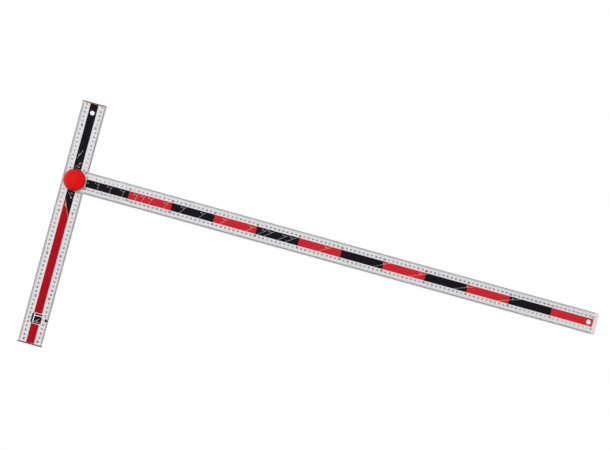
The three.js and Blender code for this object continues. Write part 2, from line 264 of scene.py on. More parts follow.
class Finish:
    """The nodes of one material, drawn on the piece's own object coordinates."""

    def __init__(self, name, owner=None):
        self.owner = owner or bpy.data.materials.new(name)
        self.owner.use_nodes = True
        self.tree = self.owner.node_tree
        self.tree.nodes.clear()

    def node(self, kind, settings=None, sockets=None, output=0):
        """Adds a node, sets it, feeds its sockets, and gives one of its outputs."""
        made = self.tree.nodes.new(kind)
        for name, value in (settings or {}).items():
            setattr(made, name, value)
        for name, value in (sockets or {}).items():
            if isinstance(value, Link):
                self.tree.links.new(value.socket, made.inputs[name])
            else:
                made.inputs[name].default_value = value
        return Link(self, made.outputs[output]) if made.outputs else None

    def place(self, stretch=(1, 1, 1)):
        place = self.node("ShaderNodeTexCoord", output="Object")
        return self.node("ShaderNodeMapping", None, {"Vector": place, "Scale": stretch})

    def noise(self, per_metre, detail, place=None):
        sockets = {"Vector": place or self.place(), "Scale": per_metre, "Detail": detail}
        return self.node("ShaderNodeTexNoise", None, sockets)

    def blend(self, share, first, second, kind="MIX"):
        """Mixes two colours. The numbers are the factor's and the colours' sockets."""
        sockets = {0: share, 6: first, 7: second}
        return self.node("ShaderNodeMix", {"data_type": "RGBA", "blend_type": kind}, sockets, 2)

    def bump(self, height, depth, strength):
        sockets = {"Height": height, "Distance": depth, "Strength": strength}
        return self.node("ShaderNodeBump", None, sockets)

    def surface(self, colour, roughness, normal, **constants):
        sockets = {"Base Color": colour, "Roughness": roughness, "Normal": normal}
        for name, value in constants.items():
            sockets[name.replace("_", " ").title().replace("Ior", "IOR")] = value
        shader = self.node("ShaderNodeBsdfPrincipled", None, sockets)
        self.node("ShaderNodeOutputMaterial", None, {"Surface": shader})
        return self.owner


def opaque(colour, level=1.0):
    return (*(min(1.0, part * level) for part in colour), 1.0)


def anodised(name, face, milled, along):
    """Satin anodised aluminium with fine die lines along the bar, and bevels given a greyer colour
    as painted shade.
    """
    finish = Finish(name)
    drawn = tuple(0.012 if axis == along else 1.0 for axis in "XYZ")
    lines = finish.noise(per_metre=2600, detail=3.0, place=finish.place(drawn))
    bands = finish.noise(per_metre=320, detail=1.0, place=finish.place(drawn))
    grain = finish.noise(per_metre=5200, detail=1.0)
    normal = finish.node("ShaderNodeTexCoord", output="Normal")
    tilt = finish.node("ShaderNodeSeparateXYZ", None, {0: normal}, output="Z")
    # Painted shade: faces tilted about 45 degrees, the rails' bevels, take the greyer bevel colour
    bevel_tilt = 0.707
    bevel_shade_mask = (1.0 - abs(tilt - bevel_tilt) * 4.0).clamped()
    tone = finish.blend(bevel_shade_mask, opaque(face), opaque(milled))
    shade = (lines * 0.5 + bands * 0.3 + grain * 0.2) * 0.22 + 0.89
    grey = finish.node("ShaderNodeCombineColor", None, {0: shade, 1: shade, 2: shade})
    return finish.surface(
        finish.blend(1.0, tone, grey, "MULTIPLY"),
        roughness=lines * 0.16 + grain * 0.08 + 0.38,
        normal=finish.bump(lines * 0.7 + grain * 0.3, depth=0.02 * MM, strength=0.35),
        metallic=0.35, specular_ior_level=0.3)


def moulded(name, colour, roughness, specular=0.25):
    """Moulded plastic with a faint eroded grain and flow marks."""
    finish = Finish(name)
    grain = finish.noise(per_metre=2400, detail=3.0)
    flow = finish.noise(per_metre=130, detail=2.0, place=finish.place((1, 1, 0.4)))
    return finish.surface(
        finish.blend(flow * 0.7 + grain * 0.3, opaque(colour, 0.90), opaque(colour, 1.08)),
        roughness=grain * 0.12 + flow * 0.06 + (roughness - 0.09),
        normal=finish.bump(grain, depth=0.03 * MM, strength=0.25),
        specular_ior_level=specular)


def milky(name, colour):
    """Milky plastic that lets a little light through."""
    finish = Finish(name)
    cloud = finish.noise(per_metre=180, detail=2.0)
    grain = finish.noise(per_metre=2600, detail=2.0)
    return finish.surface(
        finish.blend(cloud, opaque(colour, 0.93), opaque(colour, 1.04)),
        roughness=grain * 0.1 + 0.33,
        normal=finish.bump(grain, depth=0.02 * MM, strength=0.2),
        specular_ior_level=0.35, subsurface_weight=0.12, subsurface_scale=1.5 * MM)


def plated(name, colour):
    """Zinc plating over turned or stamped steel, slightly cloudy."""
    finish = Finish(name)
    cloud = finish.noise(per_metre=420, detail=3.0)
    grain = finish.noise(per_metre=5000, detail=1.0)
    return finish.surface(
        finish.blend(cloud, opaque(colour, 0.82), opaque(colour, 1.05)),
        roughness=cloud * 0.22 + 0.22,
        normal=finish.bump(cloud * 0.4 + grain * 0.6, depth=0.02 * MM, strength=0.3),
        metallic=1.0)


def turned_metal(name, colour):
    """Bright turned metal with tool rings round its axis."""
    finish = Finish(name)
    rings = finish.node(
        "ShaderNodeTexWave",
        {"wave_type": "RINGS", "rings_direction": "Z"},
        {"Vector": finish.place(), "Scale": 900, "Distortion": 1.5, "Detail": 2.0},
        output=1)
    cloud = finish.noise(per_metre=300, detail=2.0)
    return finish.surface(
        finish.blend(cloud, opaque(colour, 0.85), opaque(colour, 1.05)),
        roughness=rings * 0.1 + cloud * 0.1 + 0.2,
        normal=finish.bump(rings, depth=0.01 * MM, strength=0.3),
        metallic=1.0)


def pressed_fibre(name, colour):
    """Dull fibre board of the friction disc."""
    finish = Finish(name)
    strands = finish.noise(per_metre=2600, detail=4.0, place=finish.place((1, 0.25, 1)))
    flecks = finish.noise(per_metre=900, detail=2.0)
    return finish.surface(
        finish.blend(strands, opaque(colour, 0.6), opaque(colour, 1.7)),
        roughness=flecks * 0.1 + 0.78,
        normal=finish.bump(strands * 0.7 + flecks * 0.3, depth=0.08 * MM, strength=0.6),
        specular_ior_level=0.2)


def ink(name, colour):
    """Screen printed ink with a faint mottle."""
    finish = Finish(name)
    mottle = finish.noise(per_metre=700, detail=3.0)
    grain = finish.noise(per_metre=6000, detail=1.0)
    return finish.surface(
        finish.blend(mottle, opaque(colour, 0.90), opaque(colour, 1.09)),
        roughness=mottle * 0.12 + grain * 0.06 + 0.36,
        normal=finish.bump(grain, depth=0.01 * MM, strength=0.2),
        specular_ior_level=0.05)


FINISHES = {}


def finish_of(name):
    """The material of that name, made when it is first asked for."""
    if name not in FINISHES:
        colours = bpy.context.scene.t_square_colours
        makers = {
            "head_aluminium": lambda: anodised(name, colours.aluminium, colours.milled, "Y"),
            "blade_aluminium": lambda: anodised(name, colours.aluminium, colours.milled, "X"),
            "knob_plastic": lambda: moulded(name, colours.knob_red, 0.46, specular=0.09),
            "cap_plastic": lambda: moulded(name, colours.cap_red, 0.48),
            "milky_plastic": lambda: milky(name, colours.milky),
            "zinc_plate": lambda: plated(name, colours.zinc),
            "turned_brass": lambda: turned_metal(name, colours.brass),
            "pressed_fibre": lambda: pressed_fibre(name, colours.fibre),
            "black_print": lambda: ink(name, colours.black_ink),
            "blade_red_print": lambda: ink(name, colours.blade_red),
            "head_red_print": lambda: ink(name, colours.head_red),
            "mark_print": lambda: ink(name, colours.mark_red),
            "white_print": lambda: ink(name, colours.white_ink),
        }
        FINISHES[name] = makers[name]()
    return FINISHES[name]


# Making pieces

SMOOTH_ANGLE = math.radians(32)
FLAT_ANGLE = math.radians(0.5)
WELD = 0.001 * MM


def mesh_of(name, bm):
    """Turns a bmesh into a mesh and frees it."""
    mesh = bpy.data.meshes.new(name)
    bm.to_mesh(mesh)
    bm.free()
    return mesh


def put_in_scene(name, data):
    """A new object of the scene that holds a mesh, text, light or camera."""
    made = bpy.data.objects.new(name, data)
    bpy.context.scene.collection.objects.link(made)
    return made


def add_piece(name, bm, body, finish, smooth=False):
    """Turns a bmesh into a finished piece that rides on a body."""
    mesh = mesh_of(name, bm)
    mesh.materials.append(finish_of(finish))
    piece = put_in_scene(name, mesh)
    if smooth:
        mesh.shade_smooth()
        mesh.set_sharp_from_angle(angle=SMOOTH_ANGLE)
    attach(piece, body)
    return piece


def softened(node, name, body, finish, width, steps=3):
    """Puts a copy of a frame node with rounded outer edges in the node's place."""
    bm = bmesh.new()
    bm.from_mesh(frame["nodes"][node].data)
    bmesh.ops.remove_doubles(bm, verts=bm.verts, dist=WELD)
    bmesh.ops.dissolve_limit(bm, angle_limit=FLAT_ANGLE, verts=bm.verts, edges=bm.edges)
    sharp = [
        edge for edge in bm.edges
        if edge.is_manifold and edge.is_convex and edge.calc_face_angle() > SMOOTH_ANGLE
    ]
    bmesh.ops.bevel(
        bm, geom=sharp, offset=width, offset_type="OFFSET", segments=steps, profile=0.5,
        affect="EDGES", material=-1, clamp_overlap=True)
    piece = add_piece(name, bm, body, finish, smooth=True)
    flat_faces = piece.modifiers.new("Weighted Normal", "WEIGHTED_NORMAL")
    flat_faces.weight = 100
    flat_faces.keep_sharp = True
    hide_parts(node)


def spun(profile, steps, closed=True):
    """A bmesh turned about the pivot axis from a profile of radius and height."""
    bm = bmesh.new()
    verts = [bm.verts.new((radius, 0, height)) for radius, height in profile]
    nexts = verts[1:] + verts[:1] if closed else verts[1:]
    edges = [bm.edges.new(pair) for pair in zip(verts, nexts)]
    bmesh.ops.spin(
        bm, geom=verts + edges, cent=(0, 0, 0), axis=UP, angle=FULL_TURN, steps=steps,
        use_merge=True)
    bmesh.ops.remove_doubles(bm, verts=bm.verts, dist=WELD)
    bmesh.ops.recalc_face_normals(bm, faces=bm.faces)
    return bm


def round_corner(centre, radius, start, end, steps):
    """Points of an arc in a profile, from one angle in degrees to another."""
    points = []
    for step in range(steps + 1):
        angle = math.radians(start + (end - start) * step / steps)
        points.append((
            centre[0] + radius * math.cos(angle), centre[1] + radius * math.sin(angle)))
    return points


# Print: thin films that lie on a rail

LAYER_SINK = 0.2  # of a film's height, by which the next film sinks into it


def add_outline(bm, points):
    verts = [bm.verts.new((x, y, 0)) for x, y in points]
    for pair in zip(verts, verts[1:] + verts[:1]):
        bm.edges.new(pair)


def add_round(bm, centre, radius, segments=48):
    bmesh.ops.create_circle(
        bm, segments=segments, radius=radius, matrix=Matrix.Translation((*centre, 0)))


def film(bm, bottom, top):
    """Fills the flat outlines, with any outline inside another as a hole, and thickens them."""
    bmesh.ops.triangle_fill(bm, use_beauty=True, edges=bm.edges, normal=UP)
    thicken(bm, bottom, top)
    return bm


def thicken(bm, bottom, top):
    bmesh.ops.translate(bm, verts=bm.verts, vec=(0, 0, bottom))
    made = bmesh.ops.extrude_face_region(bm, geom=bm.faces[:])["geom"]
    raised = [item for item in made if isinstance(item, bmesh.types.BMVert)]
    bmesh.ops.translate(bm, verts=raised, vec=(0, 0, top - bottom))
    bmesh.ops.recalc_face_normals(bm, faces=bm.faces)


def stroke(bm, start, end, width, levels):
    """Adds a thin straight line from one point to another."""
    run = Vector(end) - Vector(start)
    middle_point = (Vector(start) + Vector(end)) / 2
    turn = Matrix.Rotation(math.atan2(run.y, run.x), 4, "Z")
    size = Matrix.Diagonal((run.length, width, levels[1] - levels[0], 1))
    place = Matrix.Translation((*middle_point, (levels[0] + levels[1]) / 2))
    bmesh.ops.create_cube(bm, size=1, matrix=place @ turn @ size)


def film_levels(surface, layer=0):
    """Bottom and top of a film on a surface, or on the film that lies there."""
    sizes = bpy.context.scene.t_square_print
    level = surface + layer * sizes.ink_rise * (1 - LAYER_SINK)
    return level - sizes.ink_root, level + sizes.ink_rise * (1 - LAYER_SINK * layer)


def stamp(bm, template, place):
    """Adds a template mesh at a place."""
    copy = template.copy()
    copy.transform(place)
    bm.from_mesh(copy)
    bpy.data.meshes.remove(copy)


TEMPLATES = {}
DIGIT_SHARE = 0.69  # of the font's size that a digit is high
LETTER_CURVE_STEPS = 3
SPREAD = 2.2  # by which heavier strokes push the letters apart
CROSSING_LAYER = 1.2  # of a line that crosses others on the first layer


def lettering(words, height, weight, levels, squeeze=1.0):
    """A thin mesh of a number, centred on the origin in plan."""
    key = (words, height, weight, levels, squeeze)
    if key in TEMPLATES:
        return TEMPLATES[key]
    curve = bpy.data.curves.new("number", "FONT")
    curve.body = words
    curve.size = height / DIGIT_SHARE
    curve.offset = weight
    curve.space_character = 1 + SPREAD * weight / height
    curve.resolution_u = LETTER_CURVE_STEPS
    text = put_in_scene("number", curve)
    bpy.context.view_layer.update()
    flat = bpy.data.meshes.new_from_object(
        text.evaluated_get(bpy.context.evaluated_depsgraph_get()))
    bm = bmesh.new()
    bm.from_mesh(flat)
    bmesh.ops.remove_doubles(bm, verts=bm.verts, dist=WELD)
    bmesh.ops.dissolve_limit(bm, angle_limit=FLAT_ANGLE, verts=bm.verts, edges=bm.edges)
    across = [vert.co.x for vert in bm.verts]
    centre = Vector(((min(across) + max(across)) / 2, height / 2, 0))
    bmesh.ops.translate(bm, verts=bm.verts, vec=-centre)
    bmesh.ops.scale(bm, verts=bm.verts, vec=(squeeze, 1, 1))
    thicken(bm, *levels)
    bpy.data.objects.remove(text)
    bpy.data.curves.remove(curve)
    bpy.data.meshes.remove(flat)
    TEMPLATES[key] = mesh_of("number", bm)
    return TEMPLATES[key]


def place_at(x, y, turn=0.0):
    return Matrix.Translation((x, y, 0)) @ Matrix.Rotation(math.radians(turn), 4, "Z")


def drape(bm, crest, bevel):
    """Bends what lies beyond the crest of a rail, at +Y, down over its bevel."""
    bmesh.ops.bisect_plane(
        bm, geom=bm.verts[:] + bm.edges[:] + bm.faces[:], dist=WELD,
        plane_co=(0, crest, 0), plane_no=(0, 1, 0))
    for vert in bm.verts:
        beyond = vert.co.y - crest
        if beyond > 0:
            vert.co.z -= beyond * bevel.y / bevel.x


TICK_INSET = 0.5 * MM  # from the very edge of the rail
ONE_REACH = 1.5 * MM  # of a millimetre line past the crest
FIVE_REACH = 2.4 * MM
TEN_REACH = 3.6 * MM


def centimetre_of_ticks(edge, bevel, levels, width):
    """Ten lines from x = 0 to 9 mm at a rail's edge towards +Y, bent over its bevel."""
    bm = bmesh.new()
    crest = edge - bevel.x
    for step in range(10):
        reach = {0: TEN_REACH, 5: FIVE_REACH}.get(step, ONE_REACH)
        inner = crest - reach
        outer = edge - TICK_INSET
        centre = (step * MM, (inner + outer) / 2, (levels[0] + levels[1]) / 2)
        size = Vector((width, outer - inner, levels[1] - levels[0]))
        bmesh.ops.create_cube(bm, size=1, matrix=Matrix.LocRotScale(centre, None, size))
    drape(bm, crest, bevel)
    bmesh.ops.recalc_face_normals(bm, faces=bm.faces)
    return mesh_of("ticks", bm)


def ends_in_nought(count):
    return count % 10 == 0


# Operators


class FinishRails(bpy.types.Operator):
    """Give both aluminium rails soft edges and the anodised finish"""

    bl_idname = "t_square.rails"
    bl_label = "Rails"
    edge = 0.2 * MM

    def execute(self, context):
        for body in ("head", "blade"):
            softened(f"{body}_rail", f"{body}_rail_finished", body,
                     f"{body}_aluminium", self.edge)
        return {"FINISHED"}


class FinishCaps(bpy.types.Operator):
    """Round the moulded caps on the ends of both rails"""

    bl_idname = "t_square.caps"
    bl_label = "End Caps"
    head_cap_edge = 0.25 * MM
    end_cap_edge = 0.4 * MM
    root_cap_edge = 0.3 * MM

    def execute(self, context):
        for side in ("upper", "lower"):
            softened(f"head_{side}_cap", f"head_{side}_cap_moulding", "head",
                     "cap_plastic", self.head_cap_edge, steps=2)
        for end, edge in (("end", self.end_cap_edge), ("root", self.root_cap_edge)):
            softened(f"blade_{end}_cap", f"blade_{end}_cap_moulding", "blade",
                     "milky_plastic", edge)
        return {"FINISHED"}


class FinishHardware(bpy.types.Operator):
    """Finish the bolt and what is stacked on it"""

    bl_idname = "t_square.hardware"
    bl_label = "Clamp Hardware"
    parts = (  # node, body, slot, finish and width of the rounded edge
        ("pivot_bolt", "head", "zinc_plated_steel", "zinc_plate", 0.25 * MM),
        ("pivot_block", "head", "zinc_plated_steel", "zinc_plate", 0.2 * MM),
        ("bolt_clip", "head", "zinc_plated_steel", "zinc_plate", 0.08 * MM),
        ("friction_disc", "head", "black_fibre", "pressed_fibre", 0.15 * MM),
        ("blade_bush", "blade", "zinc_plated_steel", "zinc_plate", 0.2 * MM),
        ("pressure_washer", "washer", "zinc_plated_steel", "zinc_plate", 0.25 * MM),
        ("knob_insert", "knob", "brass", "turned_brass", 0.15 * MM),
    )

    def execute(self, context):
        for node, body, slot, finish, edge in self.parts:
            softened(node, f"{node}_finished", body, finish, edge, steps=2)
        return {"FINISHED"}


class MakeKnob(bpy.types.Operator):
    """Model the fluted clamp knob, its ribs and its cover"""

    bl_idname = "t_square.knob"
    bl_label = "Clamp Knob"
    steps_per_flute = 28
    side_rows = 12
    shoulder_steps = 30
    corner_steps = 4
    cover_steps = 128
    ribs = 6
    rib_thickness = 1.8 * MM
    rib_setback = 1.5 * MM
    rib_sink = 0.3 * MM  # by which a rib reaches into hub, skirt and floor
    hub_radius = 11 * MM
    wall = 2 * MM
    floor = 2.2 * MM
    gap = 0.1 * MM
    cover_gap = 0.15 * MM
    cover_thickness = 1.6 * MM
    spigot_radius = 8.3 * MM
    spigot_wall = 1.2 * MM
    edge = 0.4 * MM

    def execute(self, context):
        self.sizes = context.scene.t_square_knob
        self.make_body()
        self.make_cover()
        return {"FINISHED"}

    def make_body(self):
        bm = self.turned_body()
        self.cut_flutes(bm)
        body = add_piece(
            "lock_knob_moulding", bm, "knob", "knob_plastic", smooth=True)
        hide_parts("lock_knob")
        add_piece("lock_knob_ribs", self.rib_boxes(), "knob", "knob_plastic")

    def seat_level(self):
        return KNOB_HIGH.z - self.cover_thickness - self.gap

    def floor_level(self):
        return self.seat_level() - self.floor

    def skirt_radius(self):
        sizes = self.sizes
        lean = (self.floor_level() - KNOB_LOW.z) * math.tan(sizes.flute_lean)
        return sizes.radius - sizes.flute_depth - lean - self.wall

    def turned_body(self):
        sizes = self.sizes
        low, high = KNOB_LOW.z, KNOB_HIGH.z
        seat = self.seat_level()
        side_height = high - sizes.shoulder_height - low
        edge = self.edge
        rows = self.side_rows
        side = round_corner((sizes.radius - edge, low + edge), edge, -90, 0, self.corner_steps)
        for row in range(1, rows):
            side.append((sizes.radius, low + edge + (side_height - edge) * row / rows))
        shoulder = []
        for step in range(self.shoulder_steps + 1):
            angle = math.radians(90) * step / self.shoulder_steps
            shoulder.append((
                sizes.radius - sizes.shoulder_width * (1 - math.cos(angle)),
                high - sizes.shoulder_height * (1 - math.sin(angle)),
            ))
        mouth = COVER_HIGH.x + self.cover_gap
        bore = self.spigot_radius + self.gap
        hole = INSERT_HIGH.x + self.gap
        floor = self.floor_level()
        skirt = self.skirt_radius()
        inside = [
            (mouth + edge / 2, high),
            (mouth, high - edge / 2),
            (mouth, seat),
            (bore, seat),
            (bore, INSERT_HIGH.z),
            (hole, INSERT_HIGH.z),
            (hole, INSERT_LOW.z + edge),
            (hole + edge, INSERT_LOW.z),
            (self.hub_radius - edge, INSERT_LOW.z),
            (self.hub_radius, INSERT_LOW.z + edge),
            (self.hub_radius, floor - edge),
            (self.hub_radius + edge, floor),
            (skirt - edge, floor),
            (skirt, floor - edge),
            (skirt, low + edge / 2),
            (skirt + edge / 2, low),
        ]
        return spun(side + shoulder + inside, sizes.flutes * self.steps_per_flute)

    def cut_flutes(self, bm):
        """Draws the side in to the grooves, with a soft edge where they meet."""
        sizes = self.sizes
        pitch = FULL_TURN / sizes.flutes
        cutter = sizes.flute_radius
        start = sizes.radius - sizes.flute_depth + cutter / math.cos(sizes.flute_lean)
        slope = math.tan(sizes.flute_lean)
        soft = sizes.edge_softness
        inner = max(sizes.radius - sizes.shoulder_width, self.skirt_radius() + self.edge)
        for vert in bm.verts:
            radius = math.hypot(vert.co.x, vert.co.y)
            if radius <= inner:
                continue
            angle = math.atan2(vert.co.y, vert.co.x)
            off = (angle + pitch / 2) % pitch - pitch / 2
            axis = start - (vert.co.z - KNOB_LOW.z) * slope
            half = cutter**2 - (axis * math.sin(off)) ** 2
            if half <= 0:
                continue
            groove = axis * math.cos(off) - math.sqrt(half)
            share = min(1.0, max(0.0, 0.5 + (groove - radius) / (2 * soft)))
            drawn = groove + (radius - groove) * share - soft * share * (1 - share)
            if drawn < radius:
                vert.co.x *= drawn / radius
                vert.co.y *= drawn / radius

    def rib_boxes(self):
        bm = bmesh.new()
        inner = self.hub_radius - self.rib_sink
        outer = self.skirt_radius() + self.rib_sink
        bottom = INSERT_LOW.z + self.rib_setback
        top = self.floor_level() + self.rib_sink
        centre = Vector(((inner + outer) / 2, 0, (bottom + top) / 2))
        size = Vector((outer - inner, self.rib_thickness, top - bottom))
        for rib in range(self.ribs):
            turn = Matrix.Rotation(FULL_TURN * rib / self.ribs, 4, "Z")
            bmesh.ops.create_cube(bm, size=1, matrix=turn @ Matrix.LocRotScale(centre, None, size))
        return bm

    def make_cover(self):
        radius, high = COVER_HIGH.x, COVER_HIGH.z
        under = high - self.cover_thickness
        edge = self.edge
        rim = round_corner((radius - edge, high - edge), edge, 0, 90, self.corner_steps)
        low = COVER_LOW.z
        bore = self.spigot_radius - self.spigot_wall
        profile = [
            (0, under), (bore, under), (bore, low), (self.spigot_radius - edge / 2, low),
            (self.spigot_radius, low + edge / 2), (self.spigot_radius, under),
            (radius - edge / 2, under), (radius, under + edge / 2), *rim, (0, high),
        ]
        bm = spun(profile, self.cover_steps, closed=False)
        cover = add_piece(
            "knob_cover_moulding", bm, "knob", "knob_plastic", smooth=True)
        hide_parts("knob_cover")


class PrintBladeBands(bpy.types.Operator):
    """Print the black and red decimetres along the blade"""

    bl_idname = "t_square.blade_bands"
    bl_label = "Blade Bands"
    hole_margin = 0.4 * MM
    end_margin = 0.5 * MM

    def execute(self, context):
        half = context.scene.t_square_print.blade_band
        count = round((BLADE_HIGH.x - FENCE) / DECIMETRE)
        black, red = bmesh.new(), bmesh.new()
        for index in range(count):
            left = FENCE + index * DECIMETRE
            right = min(left + DECIMETRE, BLADE_HIGH.x - self.end_margin)
            ground = red if index % 2 else black
            add_outline(ground, [(left, -half), (right, -half), (right, half), (left, half)])
        add_round(red, BLADE_HANG_HOLE, HANG_HOLE_RADIUS + self.hole_margin)
        levels = film_levels(BLADE_HIGH.z)
        add_piece("blade_black_bands", film(black, *levels), "blade", "black_print")
        add_piece("blade_red_bands", film(red, *levels), "blade", "blade_red_print")
        return {"FINISHED"}


def edge_line(swing, across):
    """Where the blade's leading edge crosses x = across on the head, swung by some degrees."""
    angle = math.radians(swing)
    side = 1 if swing > 0 else -1
    return (side * HEAD_ZERO + across * math.sin(angle)) / math.cos(angle)


class PrintHeadBands(bpy.types.Operator):
    """Print the black upper and the red lower band of the head"""

    bl_idname = "t_square.head_bands"
    bl_label = "Head Bands"
    hole_margin = 0.4 * MM
    end_margin = 0.3 * MM
    cut_swing = -67.5
    cut_rise = 2.3 * MM  # of the change of colour above the line for that swing

    def execute(self, context):
        half = context.scene.t_square_print.head_band
        left_cut = edge_line(self.cut_swing, -half) + self.cut_rise
        right_cut = edge_line(self.cut_swing, half) + self.cut_rise
        top = HEAD_HIGH.y - self.end_margin
        bottom = HEAD_LOW.y + self.end_margin
        black, red = bmesh.new(), bmesh.new()
        add_outline(black, [(-half, left_cut), (half, right_cut), (half, top), (-half, top)])
        add_round(black, HEAD_HANG_HOLE, HANG_HOLE_RADIUS + self.hole_margin)
        add_round(black, (0, 0), BOLT_BORE_RADIUS + self.hole_margin)
        add_outline(red, [(-half, bottom), (half, bottom), (half, right_cut), (-half, left_cut)])
        levels = film_levels(HEAD_HIGH.z)
        add_piece("head_black_band", film(black, *levels), "head", "black_print")
        add_piece("head_red_band", film(red, *levels), "head", "head_red_print")
        return {"FINISHED"}


class PrintBladeScale(bpy.types.Operator):
    """Print the blade's two rows of centimetres and its millimetre lines"""

    bl_idname = "t_square.blade_scale"
    bl_label = "Blade Scale"
    upper_row = 14.3 * MM
    lower_row = -13.95 * MM
    upper_tens = 13.3 * MM
    lower_tens = -13.2 * MM
    upper_shift = 0.2 * MM
    end_margin = 0.2 * MM
    squeeze = 0.82
    hundreds_squeeze = 0.78
    end_squeeze = 0.60

    def execute(self, context):
        self.sizes = context.scene.t_square_print
        self.levels = film_levels(BLADE_HIGH.z)
        last = round((BLADE_HIGH.x - FENCE) / CENTIMETRE)
        numbers = bmesh.new()
        for count in range(last + 1):
            x = FENCE + count * CENTIMETRE
            ten = ends_in_nought(count)
            upper = self.upper_tens if ten else self.upper_row
            lower = self.lower_tens if ten else self.lower_row
            self.number(numbers, count, x + self.upper_shift, upper, 0)
            self.number(numbers, last - count, x, lower, 180)
        add_piece("blade_numbers", numbers, "blade", "black_print")
        ticks = bmesh.new()
        row = centimetre_of_ticks(BLADE_HIGH.y, BLADE_BEVEL, self.levels, self.sizes.tick_width)
        for count in range(last):
            x = FENCE + count * CENTIMETRE
            stamp(ticks, row, place_at(x, 0))
            stamp(ticks, row, place_at(x + CENTIMETRE, 0, 180))
        add_piece("blade_millimetres", ticks, "blade", "black_print")
        return {"FINISHED"}

    def number(self, bm, value, x, y, turn):
        """Prints a number in its row, narrower near the end, and keeps it on the rail."""
        sizes = self.sizes
        limit = BLADE_HIGH.x - self.end_margin
        height, weight, squeeze = sizes.digit_height, sizes.digit_weight, self.squeeze
        words = str(value)
        if len(words) > 2:
            squeeze = self.end_squeeze if x > limit - CENTIMETRE else self.hundreds_squeeze
            weight += sizes.hundred_weight
        if ends_in_nought(value):
            height, weight = sizes.ten_height, sizes.ten_weight
        template = lettering(words, height, weight, self.levels, squeeze)
        half = max(vert.co.x for vert in template.vertices)
        stamp(bm, template, place_at(min(x, limit - half), y, turn))


class PrintHeadScale(bpy.types.Operator):
    """Print the head's two columns of centimetres and its millimetre lines"""

    bl_idname = "t_square.head_scale"
    bl_label = "Head Scale"
    left_column = Vector((-17.15 * MM, 0.25 * MM))
    left_tens = Vector((-16.0 * MM, 0.2 * MM))
    right_column = Vector((17.7 * MM, 0.6 * MM))
    right_tens = Vector((16.2 * MM, 1.0 * MM))
    squeeze = 0.86
    tens_squeeze = 0.92
    disc_margin = 1 * MM

    def execute(self, context):
        sizes = context.scene.t_square_print
        levels = film_levels(HEAD_HIGH.z)
        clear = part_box("friction_disc")[1].x + self.disc_margin
        up = int((HEAD_HIGH.y - HEAD_ZERO) / CENTIMETRE)
        down = int((HEAD_ZERO - HEAD_LOW.y) / CENTIMETRE)
        numbers = bmesh.new()
        for count in range(-down, up + 1):
            mark = Vector((0, HEAD_ZERO + count * CENTIMETRE))
            if ends_in_nought(count):
                height, weight, squeeze = sizes.ten_height, sizes.ten_weight, self.tens_squeeze
                left, right = mark + self.left_tens, mark + self.right_tens
            else:
                height, weight = sizes.digit_height, sizes.digit_weight + sizes.head_weight
                squeeze = self.squeeze
                left, right = mark + self.left_column, mark + self.right_column
            number = lettering(str(abs(count)), height, weight, levels, squeeze)
            at_arrow = abs(mark.y + sizes.apex_distance) < CENTIMETRE / 2
            if left.length > clear:
                stamp(numbers, number, place_at(*left, 90))
            if right.length > clear and not at_arrow:
                stamp(numbers, number, place_at(*right, -90))
        add_piece("head_numbers", numbers, "head", "black_print")
        ticks = bmesh.new()
        row = centimetre_of_ticks(HEAD_HIGH.x, HEAD_BEVEL, levels, sizes.tick_width)
        for count in range(-down, up):
            y = HEAD_ZERO + count * CENTIMETRE
            stamp(ticks, row, place_at(0, y, 90))
            stamp(ticks, row, place_at(0, y + CENTIMETRE, -90))
        add_piece("head_millimetres", ticks, "head", "black_print")
        return {"FINISHED"}


class PrintAngleLines(bpy.types.Operator):
    """Print the blade's fan of angle lines, which meet at a point on the fence"""

    bl_idname = "t_square.angle_lines"
    bl_label = "Angle Lines"
    angles = (
        5, 10, 15, 20, 22.5, 25, 30, 35, 40, 45, 50, 52, 53, 55, 56, 60, 65, 67.5, 70, 72,
    )
    margin = 0.4 * MM
    label_height = 2.6 * MM
    label_weight = -0.03 * MM
    label_row = 5.1 * MM
    label_offset = 8.3 * MM
    pointer_row = 3.7 * MM
    pointer_length = 4.5 * MM
    zero_place = Vector((32.0 * MM, 0.7 * MM))
    zero_height = 2.6 * MM

    def execute(self, context):
        sizes = context.scene.t_square_print
        levels = film_levels(BLADE_HIGH.z, layer=1)
        raised = film_levels(BLADE_HIGH.z, layer=CROSSING_LAYER)
        reach = sizes.blade_band - self.margin
        bm = bmesh.new()

        def crossing(angle, y):
            return FENCE + (sizes.apex_distance + y) * math.tan(math.radians(angle))

        for angle in self.angles:
            stroke(
                bm, (crossing(angle, -reach), -reach), (crossing(angle, reach), reach),
                sizes.fine_line, levels)
            foot = crossing(angle, self.pointer_row)
            stroke(
                bm, (foot - self.pointer_length, self.pointer_row), (foot, self.pointer_row),
                sizes.fine_line, raised)
            label = lettering(f"{angle:g}", self.label_height, self.label_weight, levels)
            x = crossing(angle, self.label_row) - self.label_offset
            stamp(bm, label, place_at(x, self.label_row))
        zero = lettering("0\u00b0", self.zero_height, self.label_weight, levels)
        stamp(bm, zero, place_at(*self.zero_place))
        add_piece("blade_angle_lines", bm, "blade", "white_print")
        return {"FINISHED"}


